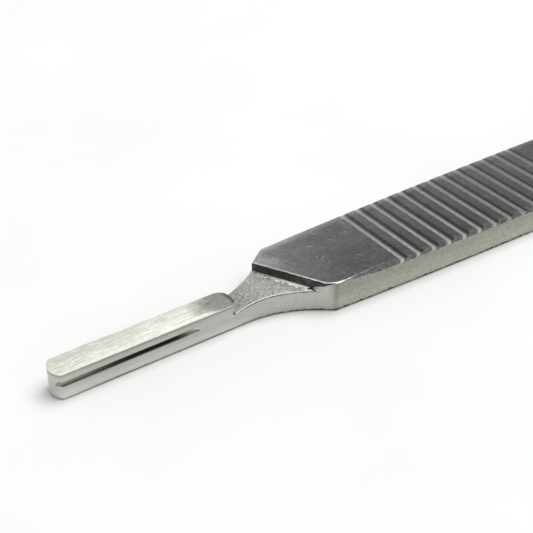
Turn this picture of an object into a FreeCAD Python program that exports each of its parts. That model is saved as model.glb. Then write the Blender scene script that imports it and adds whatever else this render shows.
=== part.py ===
"""Flat scalpel handle for the small detachable-blade fitting, one forged piece of steel.

Frame: X runs from the nib's tip to the tail, Y across the handle, Z up.
The underside lies on Z = 0 over the whole length, and the origin is its middle.
Lengths along the handle are measured from the nib's tip.
"""
import FreeCAD, Part
import os
import re
import Sketcher

doc = FreeCAD.newDocument("scalpel_handle")

# Driving dimensions, all in millimetres
sizes = {
    "overall_length": 125.0,      # tip of the nib to the tail
    "body_thickness": 3.45,       # flat stock that the handle is cut from
    "grip_width": 11.4,           # the body at its widest place
    "widest_place": 68.0,         # distance of that place from the tip
    "near_bow_radius": 780.0,     # long bow of the side at -Y
    "far_bow_radius": 900.0,      # the same at +Y
    "tail_round": 3.2,            # corners of the tail
    "edge_break": 0.12,           # broken edges of the body's top
    "underside_bevel": 0.15,      # the same on the underside
    "near_shoulder": 29.5,        # where the body's side starts, at -Y
    "far_shoulder": 26.6,         # the same at +Y
    "near_flare_run": 4.5,        # from there forward to the neck's side, at -Y
    "far_flare_run": 4.5,         # the same at +Y
    "near_neck_radius": 12.3,     # hollow of the neck's side, at -Y
    "far_neck_radius": 8.5,       # the same at +Y
    "shoulder_round": 0.25,       # upright edges of the shoulders
    "step_setback": 3.17,         # from the near shoulder forward to the step's top edge, at Y = 0
    "step_slant": 0.557,          # its run forward for each millimetre across
    "step_foot_setback": 3.26,    # the same for the step's foot
    "step_foot_slant": 0.53,
    "seat_height": 2.45,          # blade seat in front of the step
    "ramp_end": 24.2,             # the seat falls away from here towards the nib
    "ramp_foot": 19.6,
    "ramp_foot_height": 1.85,
    "notch_place": 19.35,         # steep little notch between seat and nib
    "notch_height": 1.65,
    "nib_length": 19.75,
    "nib_width": 2.75,
    "nib_height": 3.0,
    "nib_tip_radius": 1.75,
    "nib_far_round": 1.1,         # rear corner of the nib, at +Y
    "nib_near_round": 0.8,        # the same at -Y
    "slot_floor": 1.6,            # lower wall of the blade slots
    "slot_height": 0.5,
    "slot_depth": 0.55,
    "slot_end": 15.4,
    "slot_cutter_radius": 3.0,    # leaves its run-out at the end of each slot
    "groove_start": 37.9,         # middle of the first grip groove
    "groove_pitch": 2.1,
    "groove_width": 1.1,
    "groove_depth": 0.15,
}
groove_count = 13

sheet = doc.addObject("Spreadsheet::Sheet", "Sizes")
for row, (name, value) in enumerate(sizes.items(), start=1):
    sheet.set(f"A{row}", name)
    sheet.set(f"B{row}", str(value))
    sheet.setAlias(f"B{row}", name)
work = doc.addObject("Spreadsheet::Sheet", "Work")
doc.recompute()

# Half width of the bowed body at a distance from the tip
BOWED_HALF = "(sqrt({bow} ^ 2 - ({place} - widest_place) ^ 2) - {bow} + grip_width / 2)"
# Radius of an arc of a given width and depth
ARC_RADIUS = "((({width}) / 2) ^ 2 + ({depth}) ^ 2) / (2 * ({depth}))"


def near_half(place):
    return BOWED_HALF.format(place=place, bow="near_bow_radius")


def far_half(place):
    return BOWED_HALF.format(place=place, bow="far_bow_radius")


def arc_radius(width, depth):
    return ARC_RADIUS.format(width=width, depth=depth)


def tied(formula):
    """The formula with each size's name pointing at its cell."""
    return re.sub(r"[a-z]+(_[a-z]+)+", lambda match: "Sizes." + match.group(), str(formula))


def number(formula):
    """What a formula comes to with the present sizes."""
    work.set("A1", "=" + tied(formula))
    work.recompute()
    return float(work.get("A1"))


def spot(x, y):
    return FreeCAD.Vector(number(x), number(y), 0)


def new_sketch(body, name, role, height=None):
    """Empty sketch on one of the body's origin planes, or at a height above it."""
    sketch = body.newObject("Sketcher::SketchObject", name)
    base = [item for item in body.Origin.OriginFeatures if item.Role == role][0]
    sketch.AttachmentSupport = [(base, "")]
    sketch.MapMode = "FlatFace"
    if height:
        sketch.setExpression(".AttachmentOffset.Base.z", tied(height))
    return sketch


def bind(sketch, parts, formula):
    """Dimension of a sketch, tied to a formula of the sizes."""
    index = sketch.addConstraint(Sketcher.Constraint(*parts, number(formula)))
    sketch.setExpression(f"Constraints[{index}]", tied(formula))


def draw_loop(sketch, corners):
    """Closed outline through the corners, given as (x, y) formulas.

    A corner with two more entries starts an arc of that radius, which bulges to its
    left (1) or right (-1) on the way to the next corner.
    """
    pieces = []
    for i, corner in enumerate(corners):
        start = spot(*corner[:2])
        end = spot(*corners[(i + 1) % len(corners)][:2])
        if len(corner) == 2:
            edge = sketch.addGeometry(Part.LineSegment(start, end))
            pieces.append((edge, 1, 2))
            continue
        radius, bulge = number(corner[2]), corner[3]
        chord = end - start
        left = FreeCAD.Vector(-chord.y, chord.x, 0).normalize()
        rise = radius - (radius ** 2 - chord.Length ** 2 / 4) ** 0.5
        middle = (start + end) / 2 + left * bulge * rise
        edge = sketch.addGeometry(Part.Arc(start, middle, end))
        bind(sketch, ("Radius", edge), corner[2])
        pieces.append((edge, 1, 2) if bulge < 0 else (edge, 2, 1))
    for i, (edge, first, last) in enumerate(pieces):
        following, joint, _ = pieces[(i + 1) % len(pieces)]
        sketch.addConstraint(Sketcher.Constraint("Coincident", edge, last, following, joint))
        bind(sketch, ("DistanceX", -1, 1, edge, first), corners[i][0])
        bind(sketch, ("DistanceY", -1, 1, edge, first), corners[i][1])


def add_feature(body, kind, name, sketch, length=None, **settings):
    """Pad, Pocket or cutting loft of a sketch; a cut has to remove something."""
    before = body.Tip.Shape.Volume if body.Tip else 0.0
    feature = body.newObject("PartDesign::" + kind, name)
    feature.Profile = sketch
    for key, value in settings.items():
        setattr(feature, key, value)
    if length:
        feature.setExpression("Length", tied(length))
    doc.recompute()
    change = feature.Shape.Volume - before
    if abs(change) < 1e-6 or (change > 0) != (kind == "Pad"):
        raise RuntimeError(f"{name} changes the volume by {change}")
    return feature


def edges_where(shape, test):
    """Names of the edges that pass a test of their end points."""
    found = []
    for index, edge in enumerate(shape.Edges, start=1):
        points = [vertex.Point for vertex in edge.Vertexes]
        if test(points):
            found.append(f"Edge{index}")
    return found


def upright_at(shape, x, y):
    """The edge along Z at a place of the plan."""
    place = spot(x, y)

    def stands_there(points):
        return all(abs(p.x - place.x) < 0.01 and abs(p.y - place.y) < 0.01 for p in points)

    return edges_where(shape, stands_there)


def dress_edges(body, kind, name, edges, size):
    feature = body.newObject("PartDesign::" + kind, name)
    feature.Base = (feature.BaseFeature or body.Tip, edges)
    feature.setExpression("Radius" if kind == "Fillet" else "Size", tied(size))
    doc.recompute()
    return feature


handle = doc.addObject("PartDesign::Body", "Handle")
handle.Label = "handle"
handle.setExpression("Placement.Base.x", tied("-overall_length / 2"))

# Blank: neck, shoulders and bowed body in one outline, cut from flat stock
outline = new_sketch(handle, "BlankOutline", "XY_Plane")
draw_loop(outline, [
    ("slot_end", "-nib_width / 2"),
    ("near_shoulder - near_flare_run", "-nib_width / 2"),
    ("near_shoulder", "-" + near_half("near_shoulder"), "near_bow_radius", -1),
    ("overall_length", "-" + near_half("overall_length")),
    ("overall_length", far_half("overall_length"), "far_bow_radius", -1),
    ("far_shoulder", far_half("far_shoulder")),
    ("far_shoulder - far_flare_run", "nib_width / 2"),
    ("slot_end", "nib_width / 2"),
])
blank = add_feature(handle, "Pad", "Blank", outline, "body_thickness")

# The neck's sides run into the shoulders in hollow curves, and the tail is round
near_tail = near_half("overall_length")
far_tail = far_half("overall_length")
for name, x, y, radius in (
    ("NearNeck", "near_shoulder - near_flare_run", "-nib_width / 2", "near_neck_radius"),
    ("FarNeck", "far_shoulder - far_flare_run", "nib_width / 2", "far_neck_radius"),
    ("NearShoulder", "near_shoulder", "-" + near_half("near_shoulder"), "shoulder_round"),
    ("FarShoulder", "far_shoulder", far_half("far_shoulder"), "shoulder_round"),
    ("NearTail", "overall_length", "-" + near_tail, f"min(tail_round, 0.9 * {near_tail})"),
    ("FarTail", "overall_length", far_tail, f"min(tail_round, 0.9 * {far_tail})"),
):
    dress_edges(handle, "Fillet", name, upright_at(handle.Tip.Shape, x, y), radius)

# All upper edges of the body are broken
top = number("body_thickness")
body_start = number("far_shoulder - far_flare_run")


def on_top(points):
    return all(abs(p.z - top) < 1e-4 and p.x > body_start for p in points)


dress_edges(handle, "Chamfer", "EdgeBreak", edges_where(handle.Tip.Shape, on_top), "edge_break")

# Blade seat: the flat in front of a slanting step, whose wall leans back at the near side
foot = new_sketch(handle, "StepFoot", "XY_Plane", "seat_height")
brow = new_sketch(handle, "StepBrow", "XY_Plane", "body_thickness")
for line, setback, slant in ((foot, "step_foot_setback", "step_foot_slant"), (brow, "step_setback", "step_slant")):
    middle = f"(near_shoulder - {setback})"
    draw_loop(line, [
        ("0", "-grip_width / 2"),
        (f"{middle} + {slant} * grip_width / 2", "-grip_width / 2"),
        (f"{middle} - {slant} * grip_width / 2", "grip_width / 2"),
        ("0", "grip_width / 2"),
    ])
add_feature(handle, "SubtractiveLoft", "Seat", foot, Sections=[brow], Ruled=True)

# The seat falls away towards the nib and ends in a small notch
ramp = new_sketch(handle, "RampProfile", "XZ_Plane")
ramp_rise = "(seat_height - ramp_foot_height)"
ramp_run = "(ramp_end - ramp_foot)"
draw_loop(ramp, [
    ("-grip_width", "notch_height"),
    ("notch_place", "notch_height"),
    ("ramp_foot", "ramp_foot_height", f"({ramp_rise} ^ 2 + {ramp_run} ^ 2) / (2 * {ramp_rise})", 1),
    ("ramp_end", "seat_height"),
    ("ramp_end", "2 * body_thickness"),
    ("-grip_width", "2 * body_thickness"),
])
add_feature(handle, "Pocket", "Ramp", ramp, Type="ThroughAll", SideType="Symmetric")

# Nib that carries the blade: a bar with a round tip and rounded rear corners
nib = new_sketch(handle, "NibOutline", "XY_Plane")
tip_bulge = "nib_tip_radius - sqrt(nib_tip_radius ^ 2 - nib_width ^ 2 / 4)"
draw_loop(nib, [
    (tip_bulge, "-nib_width / 2"),
    ("nib_length - nib_near_round", "-nib_width / 2", "nib_near_round", -1),
    ("nib_length", "nib_near_round - nib_width / 2"),
    ("nib_length", "nib_width / 2 - nib_far_round", "nib_far_round", -1),
    ("nib_length - nib_far_round", "nib_width / 2"),
    (tip_bulge, "nib_width / 2", "nib_tip_radius", -1),
])
add_feature(handle, "Pad", "Nib", nib, "nib_height")


# All edges of the underside are broken
def on_underside(points):
    return all(abs(p.z) < 1e-4 for p in points)


low_edges = edges_where(handle.Tip.Shape, on_underside)
dress_edges(handle, "Chamfer", "UndersideBevel", low_edges, "underside_bevel")

# Blade slots in both sides of the nib, sawn from the tip with a run-out at the end
slot = new_sketch(handle, "SlotOutline", "XY_Plane", "slot_floor")
run_out = "sqrt(2 * slot_cutter_radius * slot_depth - slot_depth ^ 2)"
draw_loop(slot, [
    ("-nib_width", "nib_width / 2 - slot_depth"),
    (f"slot_end - {run_out}", "nib_width / 2 - slot_depth", "slot_cutter_radius", -1),
    ("slot_end", "nib_width / 2"),
    ("slot_end", "nib_width"),
    ("-nib_width", "nib_width"),
])
far_slot = add_feature(handle, "Pocket", "FarSlot", slot, "slot_height", Reversed=True)
both_slots = handle.newObject("PartDesign::Mirrored", "BothSlots")
both_slots.Originals = [far_slot]
both_slots.MirrorPlane = (slot, ["H_Axis"])
handle.Tip = both_slots
doc.recompute()

# Grip: shallow round-bottomed grooves across the top and the underside
grip = new_sketch(handle, "GrooveProfile", "XZ_Plane")
groove_radius = arc_radius("groove_width", "groove_depth")
for height in (f"body_thickness - groove_depth + {groove_radius}", f"groove_depth - {groove_radius}"):
    disc = Part.Circle(spot("groove_start", height), FreeCAD.Vector(0, 0, 1), number(groove_radius))
    circle = grip.addGeometry(disc)
    bind(grip, ("Radius", circle), groove_radius)
    bind(grip, ("DistanceX", -1, 1, circle, 3), "groove_start")
    bind(grip, ("DistanceY", -1, 1, circle, 3), height)
first_groove = add_feature(handle, "Pocket", "FirstGroove", grip, Type="ThroughAll", SideType="Symmetric")
grooves = handle.newObject("PartDesign::LinearPattern", "Grooves")
grooves.Originals = [first_groove]
grooves.Direction = (grip, ["H_Axis"])
grooves.Mode = "Spacing"
grooves.setExpression("Offset", tied("groove_pitch"))
grooves.Occurrences = groove_count
handle.Tip = grooves
doc.recompute()

doc.removeObject("Work")
doc.recompute()

for item in doc.Objects:
    if "Invalid" in item.State or "Error" in item.State:
        raise RuntimeError(f"{item.Name} failed: {item.State}")

os.makedirs("parts", exist_ok=True)
for body in doc.findObjects("PartDesign::Body"):
    shape = body.Shape
    if shape.isNull() or not shape.isValid() or len(shape.Solids) != 1:
        raise RuntimeError(f"{body.Label} is not one sound solid")
    box = shape.optimalBoundingBox()
    print(body.Label, "volume", round(shape.Volume, 2), "box", [round(v, 3) for v in
          (box.XMin, box.YMin, box.ZMin, box.XMax, box.YMax, box.ZMax)])
    shape.exportStep(f"parts/{body.Label}.step")
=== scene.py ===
import bmesh
import bpy
import math
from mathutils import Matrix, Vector

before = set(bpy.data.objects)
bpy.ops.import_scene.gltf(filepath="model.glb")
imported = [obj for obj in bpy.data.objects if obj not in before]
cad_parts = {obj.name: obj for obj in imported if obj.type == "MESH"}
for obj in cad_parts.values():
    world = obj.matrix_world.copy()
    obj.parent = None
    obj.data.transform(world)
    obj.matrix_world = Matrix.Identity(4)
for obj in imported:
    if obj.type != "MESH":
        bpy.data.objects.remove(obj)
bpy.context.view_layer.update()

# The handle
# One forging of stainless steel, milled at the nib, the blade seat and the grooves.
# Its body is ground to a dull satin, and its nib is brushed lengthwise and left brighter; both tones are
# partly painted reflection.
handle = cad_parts["handle"]
steel = bpy.data.materials.new("satin_steel")
steel.use_nodes = True


def add(tree, kind, sockets=None, **settings):
    """A node with its settings; a socket takes a value or another node's output."""
    made = tree.nodes.new("ShaderNode" + kind)
    for name, value in settings.items():
        setattr(made, name, value)
    for name, value in (sockets or {}).items():
        if isinstance(value, bpy.types.NodeSocket):
            tree.links.new(value, made.inputs[name])
        else:
            made.inputs[name].default_value = value
    return made


def calc(tree, operation, first, second=0.0, third=0.0):
    return add(tree, "Math", {0: first, 1: second, 2: third}, operation=operation).outputs[0]


def plus(tree, first, second):
    return calc(tree, "ADD", first, second)


def minus(tree, first, second):
    return calc(tree, "SUBTRACT", first, second)


def other(tree, mask):
    """The rest of the surface, where the mask isn't."""
    return minus(tree, 1.0, mask)


def both(tree, *masks):
    """Where all the masks overlap: their product."""
    result = masks[0]
    for mask in masks[1:]:
        result = calc(tree, "MULTIPLY", result, mask)
    return result


def most(tree, *masks):
    """Where any of the masks is: the largest of them."""
    result = masks[0]
    for mask in masks[1:]:
        result = calc(tree, "MAXIMUM", result, mask)
    return result


def rise(tree, value, start, end, low=0.0, high=1.0):
    """Soft change from low to high while the value goes from start to end."""
    made = add(tree, "MapRange", {"Value": value, "From Min": start, "From Max": end,
                                  "To Min": low, "To Max": high}, interpolation_type="SMOOTHSTEP")
    return made.outputs[0]


def band(tree, value, low, high, soft):
    """One between low and high, with soft ends."""
    return both(tree, rise(tree, value, low - soft, low + soft),
                rise(tree, value, high - soft, high + soft, 1.0, 0.0))


def tint(tree, factor, under, over):
    """The under colour, changed to the over colour where the factor is one."""
    made = add(tree, "Mix", {0: factor, 6: under, 7: over}, data_type="RGBA")
    return made.outputs[2]


def shade(tree, colour, factor):
    """The colour made lighter or darker by the factor."""
    made = add(tree, "VectorMath", {0: colour, 3: factor}, operation="SCALE")
    return made.outputs[0]


def noise(tree, place, scale, detail, roughness):
    return add(tree, "TexNoise", {"Vector": place, "Scale": scale, "Detail": detail,
                                  "Roughness": roughness}).outputs[0]


def stretched(tree, place, along, across, up):
    """The place in millimetres, scaled to so many cells per millimetre in each direction."""
    return add(tree, "VectorMath", {0: place, 1: (along, across, up)}, operation="MULTIPLY").outputs[0]


def new_group(name, inputs, outputs):
    """An empty node group that takes a place and numbers, and gives masks."""
    group = bpy.data.node_groups.new(name, "ShaderNodeTree")
    group.interface.new_socket("Place", in_out="INPUT", socket_type="NodeSocketVector")
    for label, default in inputs.items():
        socket = group.interface.new_socket(label, in_out="INPUT", socket_type="NodeSocketFloat")
        socket.default_value = default
    for label in outputs:
        group.interface.new_socket(label, in_out="OUTPUT", socket_type="NodeSocketFloat")
    return group, group.nodes.new("NodeGroupInput").outputs, group.nodes.new("NodeGroupOutput").inputs


def use(tree, group, sockets):
    made = tree.nodes.new("ShaderNodeGroup")
    made.node_tree = group
    for name, value in sockets.items():
        if isinstance(value, bpy.types.NodeSocket):
            tree.links.new(value, made.inputs[name])
        else:
            made.inputs[name].default_value = value
    return made.outputs


# Grain of a belt or a brush that ran along the handle: fine lines and broader streaks
grain, grain_in, grain_out = new_group("lengthwise grain", {}, ["Lines", "Streaks"])
fine_lines = noise(grain, stretched(grain, grain_in["Place"], 0.55, 13.0, 11.0), 1.0, 3.0, 0.65)
broad_streaks = noise(grain, stretched(grain, grain_in["Place"], 0.25, 5.0, 4.0), 1.0, 2.0, 0.5)
grain.links.new(rise(grain, fine_lines, 0.3, 0.7), grain_out["Lines"])
grain.links.new(rise(grain, broad_streaks, 0.3, 0.7), grain_out["Streaks"])

# Frosting left by the forging die: crystals of a few tenths of a millimetre, and cloudy tarnish
frost, frost_in, frost_out = new_group("frosting", {}, ["Crystals", "Clouds"])
crystals = noise(frost, frost_in["Place"], 4.2, 3.0, 0.7)
clouds = noise(frost, frost_in["Place"], 0.55, 3.0, 0.55)
frost.links.new(rise(frost, crystals, 0.32, 0.68), frost_out["Crystals"])
frost.links.new(rise(frost, clouds, 0.32, 0.68), frost_out["Clouds"])

# Handling marks: short scratches in one direction, and tiny specks
marks, marks_in, marks_out = new_group("handling marks", {"Angle": 0.6, "Share": 0.2}, ["Scratches", "Specks"])


def in_some_cells(tree, cells, channel, share, near, far):
    """A dot at the middle of some cells; a share of all the cells has one."""
    colour = add(tree, "SeparateColor", {0: cells.outputs["Color"]}).outputs[channel]
    dot = rise(tree, cells.outputs["Distance"], near, far, 1.0, 0.0)
    return both(tree, calc(tree, "LESS_THAN", colour, share), dot)


turned = add(marks, "VectorRotate", {"Vector": marks_in["Place"], "Angle": marks_in["Angle"]},
             rotation_type="Z_AXIS").outputs[0]
long_cells = add(marks, "TexVoronoi", {"Vector": stretched(marks, turned, 0.34, 3.0, 0.4), "Scale": 1.0})
round_cells = add(marks, "TexVoronoi", {"Vector": marks_in["Place"], "Scale": 1.5})
scratches = in_some_cells(marks, long_cells, 0, marks_in["Share"], 0.05, 0.2)
specks = in_some_cells(marks, round_cells, 1, marks_in["Share"], 0.06, 0.22)
marks.links.new(scratches, marks_out["Scratches"])
marks.links.new(specks, marks_out["Specks"])

# Painted edge highlight: a thin bright line just under an edge, broken up along its length
edge_glint, edge_glint_in, edge_glint_out = new_group("painted edge highlight", {"Below": 0.0, "Width": 0.08}, ["Line"])
wander = noise(edge_glint, edge_glint_in["Place"], 2.2, 3.0, 0.6)
reach = both(edge_glint, edge_glint_in["Width"], rise(edge_glint, wander, 0.3, 0.65, 0.55, 1.25))
near_line = minus(edge_glint, 1.0, calc(edge_glint, "DIVIDE", edge_glint_in["Below"], reach))
not_over_edge = calc(edge_glint, "GREATER_THAN", edge_glint_in["Below"], -0.004)
edge_glint.links.new(both(edge_glint, rise(edge_glint, near_line, 0.0, 0.45), not_over_edge), edge_glint_out["Line"])

# Where a point lies on the handle: millimetres from the nib's tip, across, and up
tree = steel.node_tree
surface = tree.nodes["Principled BSDF"]
tip_to_middle = 62.5
object_place = add(tree, "TexCoord").outputs["Object"]
place = add(tree, "VectorMath", {0: object_place, 1: (1000, 1000, 1000), 2: (tip_to_middle, 0, 0)},
            operation="MULTIPLY_ADD").outputs[0]
along, across, up = add(tree, "SeparateXYZ", {0: place}).outputs
facing = add(tree, "SeparateXYZ", {0: add(tree, "NewGeometry").outputs["True Normal"]}).outputs
facing_along = facing[0]
facing_up = facing[2]
steepness = calc(tree, "ABSOLUTE", facing_up)
level = rise(tree, facing_up, 0.9, 0.97)
upright = rise(tree, steepness, 0.35, 0.2)

grained = use(tree, grain, {"Place": place})
frosted = use(tree, frost, {"Place": place})
marked = use(tree, marks, {"Place": place, "Angle": 0.75, "Share": 0.5})
marked_across = use(tree, marks, {"Place": place, "Angle": -0.5, "Share": 0.35})
scratched = most(tree, marked["Scratches"], marked_across["Scratches"])
torn = noise(tree, place, 2.4, 4.0, 0.7)


def behind_line(slant, start):
    """Distance along the handle behind a line that slants across it."""
    return plus(tree, along, calc(tree, "MULTIPLY_ADD", across, slant, -start))


def inside_arc(centre_along, centre_across, radius):
    """Distance from an arc of the plan inwards, in millimetres."""
    offset = add(tree, "CombineXYZ", {0: minus(tree, along, centre_along),
                                      1: minus(tree, across, centre_across)}).outputs[0]
    span = add(tree, "VectorMath", {0: offset}, operation="LENGTH").outputs["Value"]
    return minus(tree, radius, span)


# Body: grey satin with cloudy tarnish. Painted light on it: lighter towards the far side and near the step,
# darker towards the tail, a painted sheen by the far shoulder and a painted bright rim along the far edge
widest_place = 68.0
body_half = 5.7
far_bow = 900.0
behind_step = behind_line(0.557, 26.33)
body_tone = tint(tree, frosted["Clouds"], (0.145, 0.149, 0.152, 1), (0.171, 0.173, 0.172, 1))
body_tone = shade(tree, body_tone, rise(tree, across, -4.5, 4.5, 0.84, 1.24))
body_tone = shade(tree, body_tone, rise(tree, along, 26.0, 34.0, 1.5, 1.0))
body_tone = shade(tree, body_tone, rise(tree, along, 34.0, 50.0, 1.03, 0.85))
body_tone = shade(tree, body_tone, rise(tree, along, 62.5, 64.5, 1.0, 0.84))
# Painted sheen near the far shoulder
far_painted_sheen = both(tree, rise(tree, behind_step, 2.8, 0.5), rise(tree, across, -0.5, 3.0))
body_tone = shade(tree, body_tone, rise(tree, far_painted_sheen, 0.0, 1.0, 1.0, 1.6))
# Painted bright rim along the far edge
from_far_side = inside_arc(widest_place, body_half - far_bow, far_bow)
body_tone = shade(tree, body_tone, rise(tree, from_far_side, 1.2, 0.0, 1.0, 2.0))
body_tone = shade(tree, body_tone, rise(tree, frosted["Crystals"], 0.0, 1.0, 0.92, 1.08))
body_tone = shade(tree, body_tone, rise(tree, torn, 0.35, 0.65, 0.88, 1.12))
before_grip = rise(tree, along, 42.0, 35.0, 0.12, 1.0)
scratch_light = both(tree, scratched, before_grip, rise(tree, torn, 0.36, 0.56, 0.15, 0.8))
body_tone = tint(tree, scratch_light, body_tone, (0.64, 0.65, 0.65, 1))
body_tone = tint(tree, both(tree, marked["Specks"], before_grip, 0.5), body_tone, (0.5, 0.5, 0.48, 1))

# Sides: milled along, a little yellow with age on the body, cooler on the neck and the nib. Painted light on
# them: lighter towards the floor, the nib's side lighter low down and darker under its top edge, and lighter
# at the tip
near_shoulder = 29.5
side_tone = tint(tree, grained["Streaks"], (0.93, 0.93, 0.8, 1), (1.06, 1.06, 0.93, 1))
side_tone = shade(tree, side_tone, rise(tree, grained["Lines"], 0.0, 1.0, 0.94, 1.06))
side_tone = shade(tree, side_tone, rise(tree, torn, 0.35, 0.65, 0.9, 1.1))
# Painted light: the side lighter towards the bottom
side_tone = shade(tree, side_tone, rise(tree, up, 2.9, 0.0, 0.31, 0.45))
neck_tone = tint(tree, grained["Streaks"], (0.95, 0.955, 0.88, 1), (1.05, 1.055, 0.99, 1))
neck_tone = shade(tree, neck_tone, rise(tree, grained["Lines"], 0.0, 1.0, 0.96, 1.04))
# Painted light: the nib's side lighter low down, darker under its top edge and lighter towards the tip
nib_low = both(tree, rise(tree, up, 1.6, 0.0), rise(tree, along, 23.0, 18.0))
neck_tone = shade(tree, neck_tone, rise(tree, nib_low, 0.0, 1.0, 0.475, 0.64))
nib_high = both(tree, rise(tree, up, 2.45, 2.8), rise(tree, along, 20.0, 19.5))
neck_tone = shade(tree, neck_tone, rise(tree, nib_high, 0.0, 1.0, 1.0, 0.68))
neck_tone = shade(tree, neck_tone, rise(tree, along, 5.0, 0.8, 1.0, 1.12))
side_tone = tint(tree, rise(tree, along, near_shoulder + 0.1, near_shoulder - 0.9), side_tone, neck_tone)
shoulder_band = band(tree, along, near_shoulder - 0.25, near_shoulder + 0.25, 0.25)
side_tone = shade(tree, side_tone, rise(tree, shoulder_band, 0.0, 1.0, 1.0, 0.8))
# Painted reflection: the tops take a dark colour like the dim room they mirror, the sides a light one like the
# white floor
tone = tint(tree, upright, body_tone, side_tone)

# The near side is a long bow, and its upper edge a ground bevel that grows from the shoulder on
body_top = 3.45
nib_top = 3.0
near_bow = 780.0
bevel_drop = 0.5
from_near_side = inside_arc(widest_place, near_bow - body_half, near_bow)
bevel_width = rise(tree, along, 29.4, 36.0, 0.03, 0.46)
bevel_depth = minus(tree, bevel_width, from_near_side)
above_nib = rise(tree, up, nib_top + 0.2, nib_top + 0.25)
behind_shoulder = rise(tree, along, near_shoulder - 0.5, near_shoulder - 0.1)
on_body_top = both(tree, above_nib, rise(tree, facing_up, 0.5, 0.6), behind_shoulder)
bevel_foot = rise(tree, along, 29.4, 35.6, body_top - 0.05, body_top - bevel_drop)
bevel_foot = plus(tree, bevel_foot, calc(tree, "MULTIPLY_ADD", torn, 0.2, -0.1))
over_foot = minus(tree, up, bevel_foot)
on_near_side = both(tree, rise(tree, facing_up, 0.75, 0.65), rise(tree, across, -3.5, -3.7), behind_shoulder)
bevel_high = both(tree, on_body_top, rise(tree, bevel_depth, -0.02, 0.02))
bevel_low = both(tree, on_near_side, rise(tree, over_foot, -0.04, 0.04))
bevel_tone = tint(tree, rise(tree, torn, 0.38, 0.66), (0.12, 0.122, 0.124, 1), (0.22, 0.222, 0.22, 1))
tone = tint(tree, most(tree, bevel_high, bevel_low), tone, bevel_tone)
# Painted highlight along the bevel's inner edge
bevel_rim_highlight = both(tree, on_body_top, band(tree, bevel_depth, -0.045, 0.045, 0.03),
                 rise(tree, torn, 0.42, 0.6, 0.4, 1.0), rise(tree, along, 38.5, 31.0, 0.1, 0.9))
tone = tint(tree, bevel_rim_highlight, tone, (0.62, 0.62, 0.59, 1))

# Seat: frosted by the die. It falls away towards the notch as a shallow bow.
seat_top = 2.45
nib_end = 19.4
nib_half = 1.375
seat_flat_from = 24.2
seat_bow = 35.9
before_flat = most(tree, minus(tree, seat_flat_from, along), 0.0)
seat_drop = calc(tree, "DIVIDE", calc(tree, "POWER", before_flat, 2.0), seat_bow)
seat_level = minus(tree, seat_top, seat_drop)
seat_zone = both(tree, rise(tree, up, seat_top + 0.1, seat_top + 0.04), rise(tree, facing_up, 0.7, 0.9),
                 rise(tree, along, nib_end - 0.6, nib_end - 0.5))
seat_tone = tint(tree, frosted["Crystals"], (0.325, 0.325, 0.3, 1), (0.65, 0.65, 0.61, 1))
seat_tone = shade(tree, seat_tone, rise(tree, along, 20.2, 25.0, 0.8, 1.02))

# Lip of the seat: a painted highlight, a bright thin line along the near side, which is straight and then an
# arc
neck_from = 20.94
neck_radius = 12.3
in_arc = rise(tree, along, neck_from - 0.04, neck_from + 0.01)
from_straight = plus(tree, across, nib_half)
from_arc = both(tree, inside_arc(neck_from, -nib_half - neck_radius, neck_radius), -1.0)
from_near_neck = plus(tree, both(tree, from_arc, in_arc), both(tree, from_straight, other(tree, in_arc)))
lip_highlight = both(tree, rise(tree, from_near_neck, 0.16, 0.05), rise(tree, torn, 0.35, 0.55, 0.55, 1.0),
           rise(tree, along, 28.0, 25.0, 0.6, 1.0))

# Burrs along the foot of the step, torn up by the cutter
before_foot = both(tree, behind_line(0.53, 26.24), -1.0)
burr_reach = rise(tree, torn, 0.36, 0.6, 0.22, 0.8)
past_burr = minus(tree, burr_reach, before_foot)
burr = both(tree, rise(tree, past_burr, 0.0, 0.1), rise(tree, across, 2.5, -1.5, 0.3, 1.0))
seat_tone = tint(tree, most(tree, lip_highlight, burr), seat_tone, (1.0, 1.0, 0.97, 1))
tone = tint(tree, seat_zone, tone, seat_tone)
# Painted shade: a dark band on the side just under the seat's lip
under_lip_shade = both(tree, upright, band(tree, minus(tree, seat_level, up), 0.0, 0.16, 0.02),
                 band(tree, along, 20.0, 28.0, 0.3), rise(tree, torn, 0.35, 0.55, 0.4, 0.95))
tone = tint(tree, under_lip_shade, tone, (0.1, 0.095, 0.08, 1))

# Nib: brushed bright, with a painted highlight along its near edge, painted shade towards its far edge, and
# its rear end duller
on_nib = rise(tree, along, nib_end + 0.5, nib_end + 0.45)
nib_zone = both(tree, on_nib, level, rise(tree, up, nib_top - 0.1, nib_top - 0.05))
nib_tone = tint(tree, grained["Lines"], (0.65, 0.65, 0.58, 1), (0.97, 0.97, 0.91, 1))
nib_tone = shade(tree, nib_tone, rise(tree, grained["Streaks"], 0.0, 1.0, 0.88, 1.04))
nib_tone = shade(tree, nib_tone, rise(tree, along, 7.0, 11.5, 0.97, 1.07))
# Painted shade towards the nib's far edge, and a painted highlight along its near edge
nib_tone = shade(tree, nib_tone, rise(tree, across, 0.9, -0.7, 0.93, 1.05))
nib_near_highlight = both(tree, rise(tree, across, -0.8, -1.1), rise(tree, along, 0.9, 1.6))
nib_tone = tint(tree, both(tree, nib_near_highlight, 0.75), nib_tone, (0.9, 0.9, 0.86, 1))
dull_from = calc(tree, "MULTIPLY_ADD", frosted["Clouds"], 0.9, minus(tree, along, nib_near_highlight))
nib_rear_tone = tint(tree, grained["Lines"], (0.19, 0.19, 0.175, 1), (0.53, 0.53, 0.49, 1))
nib_rear_tone = shade(tree, nib_rear_tone, rise(tree, along, 17.5, 19.0, 1.0, 0.86))
nib_tone = tint(tree, rise(tree, dull_from, 15.2, 17.9), nib_tone, nib_rear_tone)
nib_tone = shade(tree, nib_tone, rise(tree, torn, 0.36, 0.62, 0.95, 1.05))
brightest = (0.98, 0.98, 0.93)
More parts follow.
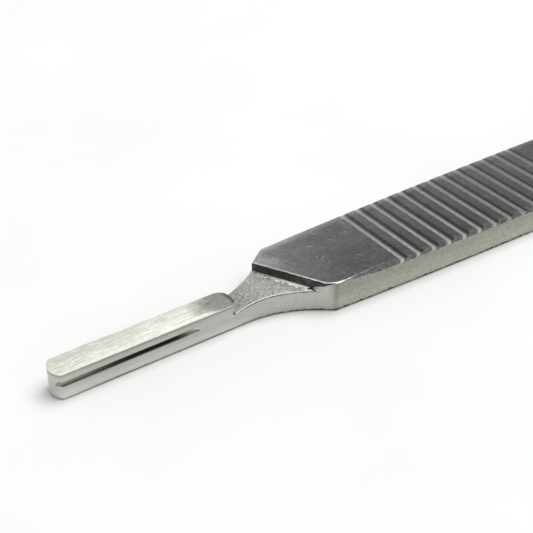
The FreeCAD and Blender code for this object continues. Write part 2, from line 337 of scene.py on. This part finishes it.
nib_tone = add(tree, "VectorMath", {0: nib_tone, 1: brightest}, operation="MINIMUM").outputs[0]
nib_tone = shade(tree, nib_tone, rise(tree, along, nib_end - 0.2, nib_end + 0.3, 1.0, 0.35))
tone = tint(tree, nib_zone, tone, nib_tone)

# Wall of the step: painted dark, standing in for the shade and the dark reflection that fill it, with a
# painted dark wedge at its near end and a painted shadow in the seat's near corner. It runs out along a curve
# into the shoulder, where the neck's side was ground over the wall.
wall_end_from = 27.75
past_seat = most(tree, minus(tree, along, wall_end_from), 0.0)
wall_end = calc(tree, "MULTIPLY_ADD", calc(tree, "POWER", past_seat, 0.65), 0.66, seat_top)
over_wall_end = rise(tree, minus(tree, up, wall_end), -0.03, 0.03)
wall_zone = both(tree, band(tree, along, 23.5, 29.3, 0.1), rise(tree, facing_along, -0.7, -0.78),
                 rise(tree, up, seat_top - 0.02, seat_top), over_wall_end)
wedge_shade_zone = both(tree, upright, band(tree, along, 28.2, 29.45, 0.05), rise(tree, across, -3.0, -3.2),
                  over_wall_end)
# Painted shadow in the near corner of the seat
near_corner_shade = both(tree, seat_zone, rise(tree, across, -2.55, -2.75), rise(tree, along, 27.95, 27.75),
                   rise(tree, calc(tree, "MULTIPLY_ADD", torn, 0.3, before_foot), 0.6, 0.5))
wall_shade_tone = tint(tree, rise(tree, torn, 0.35, 0.7), (0.05, 0.05, 0.05, 1), (0.095, 0.095, 0.09, 1))
wall_shade_tone = shade(tree, wall_shade_tone, rise(tree, across, 0.0, -2.6, 1.1, 1.35))
wall_shade_tone = shade(tree, wall_shade_tone, rise(tree, across, -2.6, -3.0, 1.0, 0.6))
tone = tint(tree, most(tree, wall_zone, wedge_shade_zone, near_corner_shade), tone, wall_shade_tone)

# Slots: painted shade inside them, lighter where they open at the nib's round tip and where they grow shallow
# at their rear ends, and a painted shade under their lower edge
slot_floor = 1.6
slot_height = 0.5
slot_depth = 0.55
tip_radius = 1.75
in_slot = minus(tree, nib_half, calc(tree, "ABSOLUTE", across))
past_tip = most(tree, rise(tree, along, tip_radius - 0.05, tip_radius),
                rise(tree, inside_arc(tip_radius, 0.0, tip_radius), 0.01, 0.1))
slot_zone = both(tree, rise(tree, along, 15.6, 15.5),
                 band(tree, up, slot_floor - 0.01, slot_floor + slot_height + 0.01, 0.01),
                 rise(tree, in_slot, 0.03, 0.22), rise(tree, in_slot, slot_depth + 0.03, slot_depth + 0.01),
                 past_tip)
slot_tip = both(tree, rise(tree, along, 9.0, 1.0), rise(tree, in_slot, 0.1, 0.4, 0.05, 1.0))
slot_rear = rise(tree, along, 12.5, 15.2)
slot_shade_tone = tint(tree, most(tree, slot_tip, slot_rear), (0.2, 0.2, 0.19, 1), (0.8, 0.8, 0.75, 1))
tone = tint(tree, slot_zone, tone, slot_shade_tone)
slot_brim_shade = both(tree, upright, rise(tree, along, 15.0, 13.0),
                 band(tree, up, slot_floor - 0.13, slot_floor + 0.01, 0.03), rise(tree, in_slot, 0.03, 0.0))
tone = shade(tree, tone, rise(tree, slot_brim_shade, 0.0, 1.0, 1.0, 0.45))

# Grooves, on the top and the underside: a painted bright reflection on their front halves, broader and fainter
# towards the tail, and a painted dark reflection on their rear halves
first_groove = 37.9
groove_pitch = 2.1
groove_width = 1.1
from_middle = calc(tree, "ABSOLUTE", minus(tree, up, body_top / 2))
on_flats = both(tree, rise(tree, from_middle, body_top / 2 - 0.25, body_top / 2 - 0.2),
                rise(tree, steepness, 0.6, 0.7))
groove_zone = both(tree, band(tree, along, 37.0, 64.0, 0.1), most(tree, on_flats, bevel_low))
pitches = calc(tree, "DIVIDE", minus(tree, along, first_groove - groove_width / 2 - 0.05), groove_pitch)
in_pitch = calc(tree, "FRACT", plus(tree, pitches, rise(tree, torn, 0.3, 0.7, -0.02, 0.02)))
widened = both(tree, in_pitch, rise(tree, along, 44.0, 58.0, 1.0, 0.7))
groove_bright_reflection = both(tree, groove_zone, band(tree, widened, 0.06, 0.29, 0.07),
            rise(tree, torn, 0.32, 0.6, 0.62, 1.0), rise(tree, across, -4.5, 3.0, 1.0, 0.82),
            rise(tree, along, 43.0, 57.0, 1.0, 0.5), rise(tree, grained["Streaks"], 0.0, 1.0, 0.85, 1.0))
tone = tint(tree, groove_bright_reflection, tone, (0.65, 0.645, 0.565, 1))
groove_dark_reflection = both(tree, groove_zone, other(tree, bevel_low), band(tree, in_pitch, 0.38, 0.52, 0.06),
                rise(tree, across, -4.0, 4.0, 0.95, 0.65))
tone = tint(tree, groove_dark_reflection, tone, (0.055, 0.055, 0.053, 1))

# Lower edges: painted contact shadow, black behind the neck and thin and brown along the nib
off_floor = rise(tree, up, 0.0, 0.01)
foot_shadow_top = rise(tree, torn, 0.42, 0.62, 0.17, 0.33)
body_foot_shadow = both(tree, off_floor, rise(tree, minus(tree, foot_shadow_top, up), -0.02, 0.03),
                  rise(tree, along, 19.5, 27.0, 0.14, 1.0))
tone = tint(tree, body_foot_shadow, tone, (0.025, 0.02, 0.015, 1))
nib_foot_shadow = both(tree, upright, off_floor, rise(tree, up, 0.27, 0.19), band(tree, along, 3.5, 24.0, 2.0),
                 rise(tree, torn, 0.35, 0.55, 0.45, 0.8))
tone = tint(tree, nib_foot_shadow, tone, (0.13, 0.095, 0.08, 1))

# Painted highlights along the edges, above all the step's top edge
step_rim_highlight = both(tree, level, above_nib, rise(tree, behind_step, 0.18, 0.1),
                rise(tree, torn, 0.35, 0.6, 0.5, 1.0), 0.75)
body_edge = use(tree, edge_glint, {"Place": place, "Below": minus(tree, body_top - 0.003, up), "Width": 0.1})
nib_edge = use(tree, edge_glint, {"Place": place, "Below": minus(tree, nib_top - 0.002, up), "Width": 0.09})
body_edge_highlight = both(tree, other(tree, level), body_edge["Line"], rise(tree, up, nib_top + 0.1, nib_top + 0.11),
                 rise(tree, along, 30.8, 29.6), other(tree, groove_zone))
nib_edge_highlight = both(tree, other(tree, level), nib_edge["Line"], on_nib)
tone = tint(tree, most(tree, body_edge_highlight, nib_edge_highlight, step_rim_highlight), tone, (0.95, 0.95, 0.9, 1))
tree.links.new(tone, surface.inputs["Base Color"])

# Torn burrs and the painted lip highlight scatter the light, and the rest of the steel mirrors it
scattering = both(tree, seat_zone, other(tree, near_corner_shade), most(tree, both(tree, lip_highlight, 0.5), burr))
tree.links.new(rise(tree, scattering, 0.0, 1.0, 1.0, 0.05), surface.inputs["Metallic"])
roughness = rise(tree, grained["Lines"], 0.0, 1.0, 0.33, 0.43)
roughness = calc(tree, "MULTIPLY_ADD", nib_zone, 0.27, roughness)
roughness = calc(tree, "MULTIPLY_ADD", seat_zone, 0.15, roughness)
tree.links.new(roughness, surface.inputs["Roughness"])

# Relief in millimetres: brushing on the nib and the sides, crystals on the seat, scratches on the
# body, the fall of the ground bevel and the rise of the burrs
texture_height = 0.007
burr_slope = 0.08
texture = both(tree, grained["Lines"], rise(tree, nib_zone, 0.0, 1.0, 0.35, 1.0))
texture = plus(tree, texture, both(tree, frosted["Crystals"], rise(tree, seat_zone, 0.0, 1.0, 0.12, 1.6)))
texture = minus(tree, texture, scratched)
bevel_fall = plus(tree, both(tree, on_body_top, most(tree, bevel_depth, 0.0)),
                  both(tree, on_near_side, most(tree, over_foot, 0.0)))
burr_rise = both(tree, seat_zone, most(tree, past_burr, 0.0))
relief = minus(tree, both(tree, texture, texture_height), bevel_fall)
relief = calc(tree, "MULTIPLY_ADD", burr_rise, burr_slope, relief)
bump = add(tree, "Bump", {"Strength": 1.0, "Distance": 0.001, "Height": relief})
tree.links.new(bump.outputs[0], surface.inputs["Normal"])
handle.data.materials[0] = steel

# The floor
# A broad sheet of matt white paper, laid flat, that fills the whole picture.
half_sheet = 3
floor_shape = bmesh.new()
bmesh.ops.create_grid(floor_shape, x_segments=1, y_segments=1, size=half_sheet)
floor_mesh = bpy.data.meshes.new("floor")
floor_shape.to_mesh(floor_mesh)
floor_shape.free()
floor = bpy.data.objects.new("floor", floor_mesh)
bpy.context.collection.objects.link(floor)
paper = bpy.data.materials.new("white_paper")
paper.use_nodes = True
paper_tree = paper.node_tree
paper_surface = paper_tree.nodes["Principled BSDF"]
paper_fibres = noise(paper_tree, add(paper_tree, "TexCoord").outputs["Object"], 35.0, 4.0, 0.5)
paper_tone = tint(paper_tree, rise(paper_tree, paper_fibres, 0.3, 0.7),
                  (0.9, 0.9, 0.89, 1), (0.93, 0.93, 0.925, 1))
paper_tree.links.new(paper_tone, paper_surface.inputs["Base Color"])
paper_surface.inputs["Roughness"].default_value = 0.85
paper_surface.inputs["Specular IOR Level"].default_value = 0.2
floor_mesh.materials.append(paper)

# The light
# A white room that is brightest near the horizon, and one wide soft lamp high over the tail.
room = bpy.data.worlds.new("room")
bpy.context.scene.world = room
room.use_nodes = True
room_tree = room.node_tree
heading = add(room_tree, "SeparateXYZ", {0: add(room_tree, "TexCoord").outputs["Generated"]}).outputs[2]
room_tone = rise(room_tree, heading, 0.05, 0.5, 1.0, 0.42)
room_tree.links.new(room_tone, room_tree.nodes["Background"].inputs["Color"])

lamp_place = Vector((0.23, -0.03, 0.75))
lamp_aim = Vector((-0.03, 0, 0))
lamp_width = 0.6
lamp = bpy.data.lights.new("soft lamp", "AREA")
lamp.shape = "RECTANGLE"
lamp.size = lamp_width
lamp.size_y = lamp_width
lamp.energy = 4.9
hung_lamp = bpy.data.objects.new("soft lamp", lamp)
bpy.context.collection.objects.link(hung_lamp)
hung_lamp.location = lamp_place
hung_lamp.rotation_euler = (lamp_aim - lamp_place).to_track_quat("-Z", "Y").to_euler()

# The camera
# It looks down along the handle from the side of the nib.
aim = Vector((-0.034297, 0.005814, 0.0))
turn = math.radians(34.771)
tilt = math.radians(34.576)
distance = 0.123258
picture_width = 533
focal_length_in_pixels = 1150
sight = Vector((math.sin(turn) * math.cos(tilt), math.cos(turn) * math.cos(tilt), -math.sin(tilt)))
lens = bpy.data.cameras.new("camera")
lens.sensor_width = 36
lens.lens = lens.sensor_width * focal_length_in_pixels / picture_width
lens.clip_start = 0.005
camera = bpy.data.objects.new("camera", lens)
bpy.context.collection.objects.link(camera)
camera.location = aim - sight * distance
camera.rotation_euler = sight.to_track_quat("-Z", "Y").to_euler()
bpy.context.scene.camera = camera
bpy.context.scene.view_settings.view_transform = "Standard"
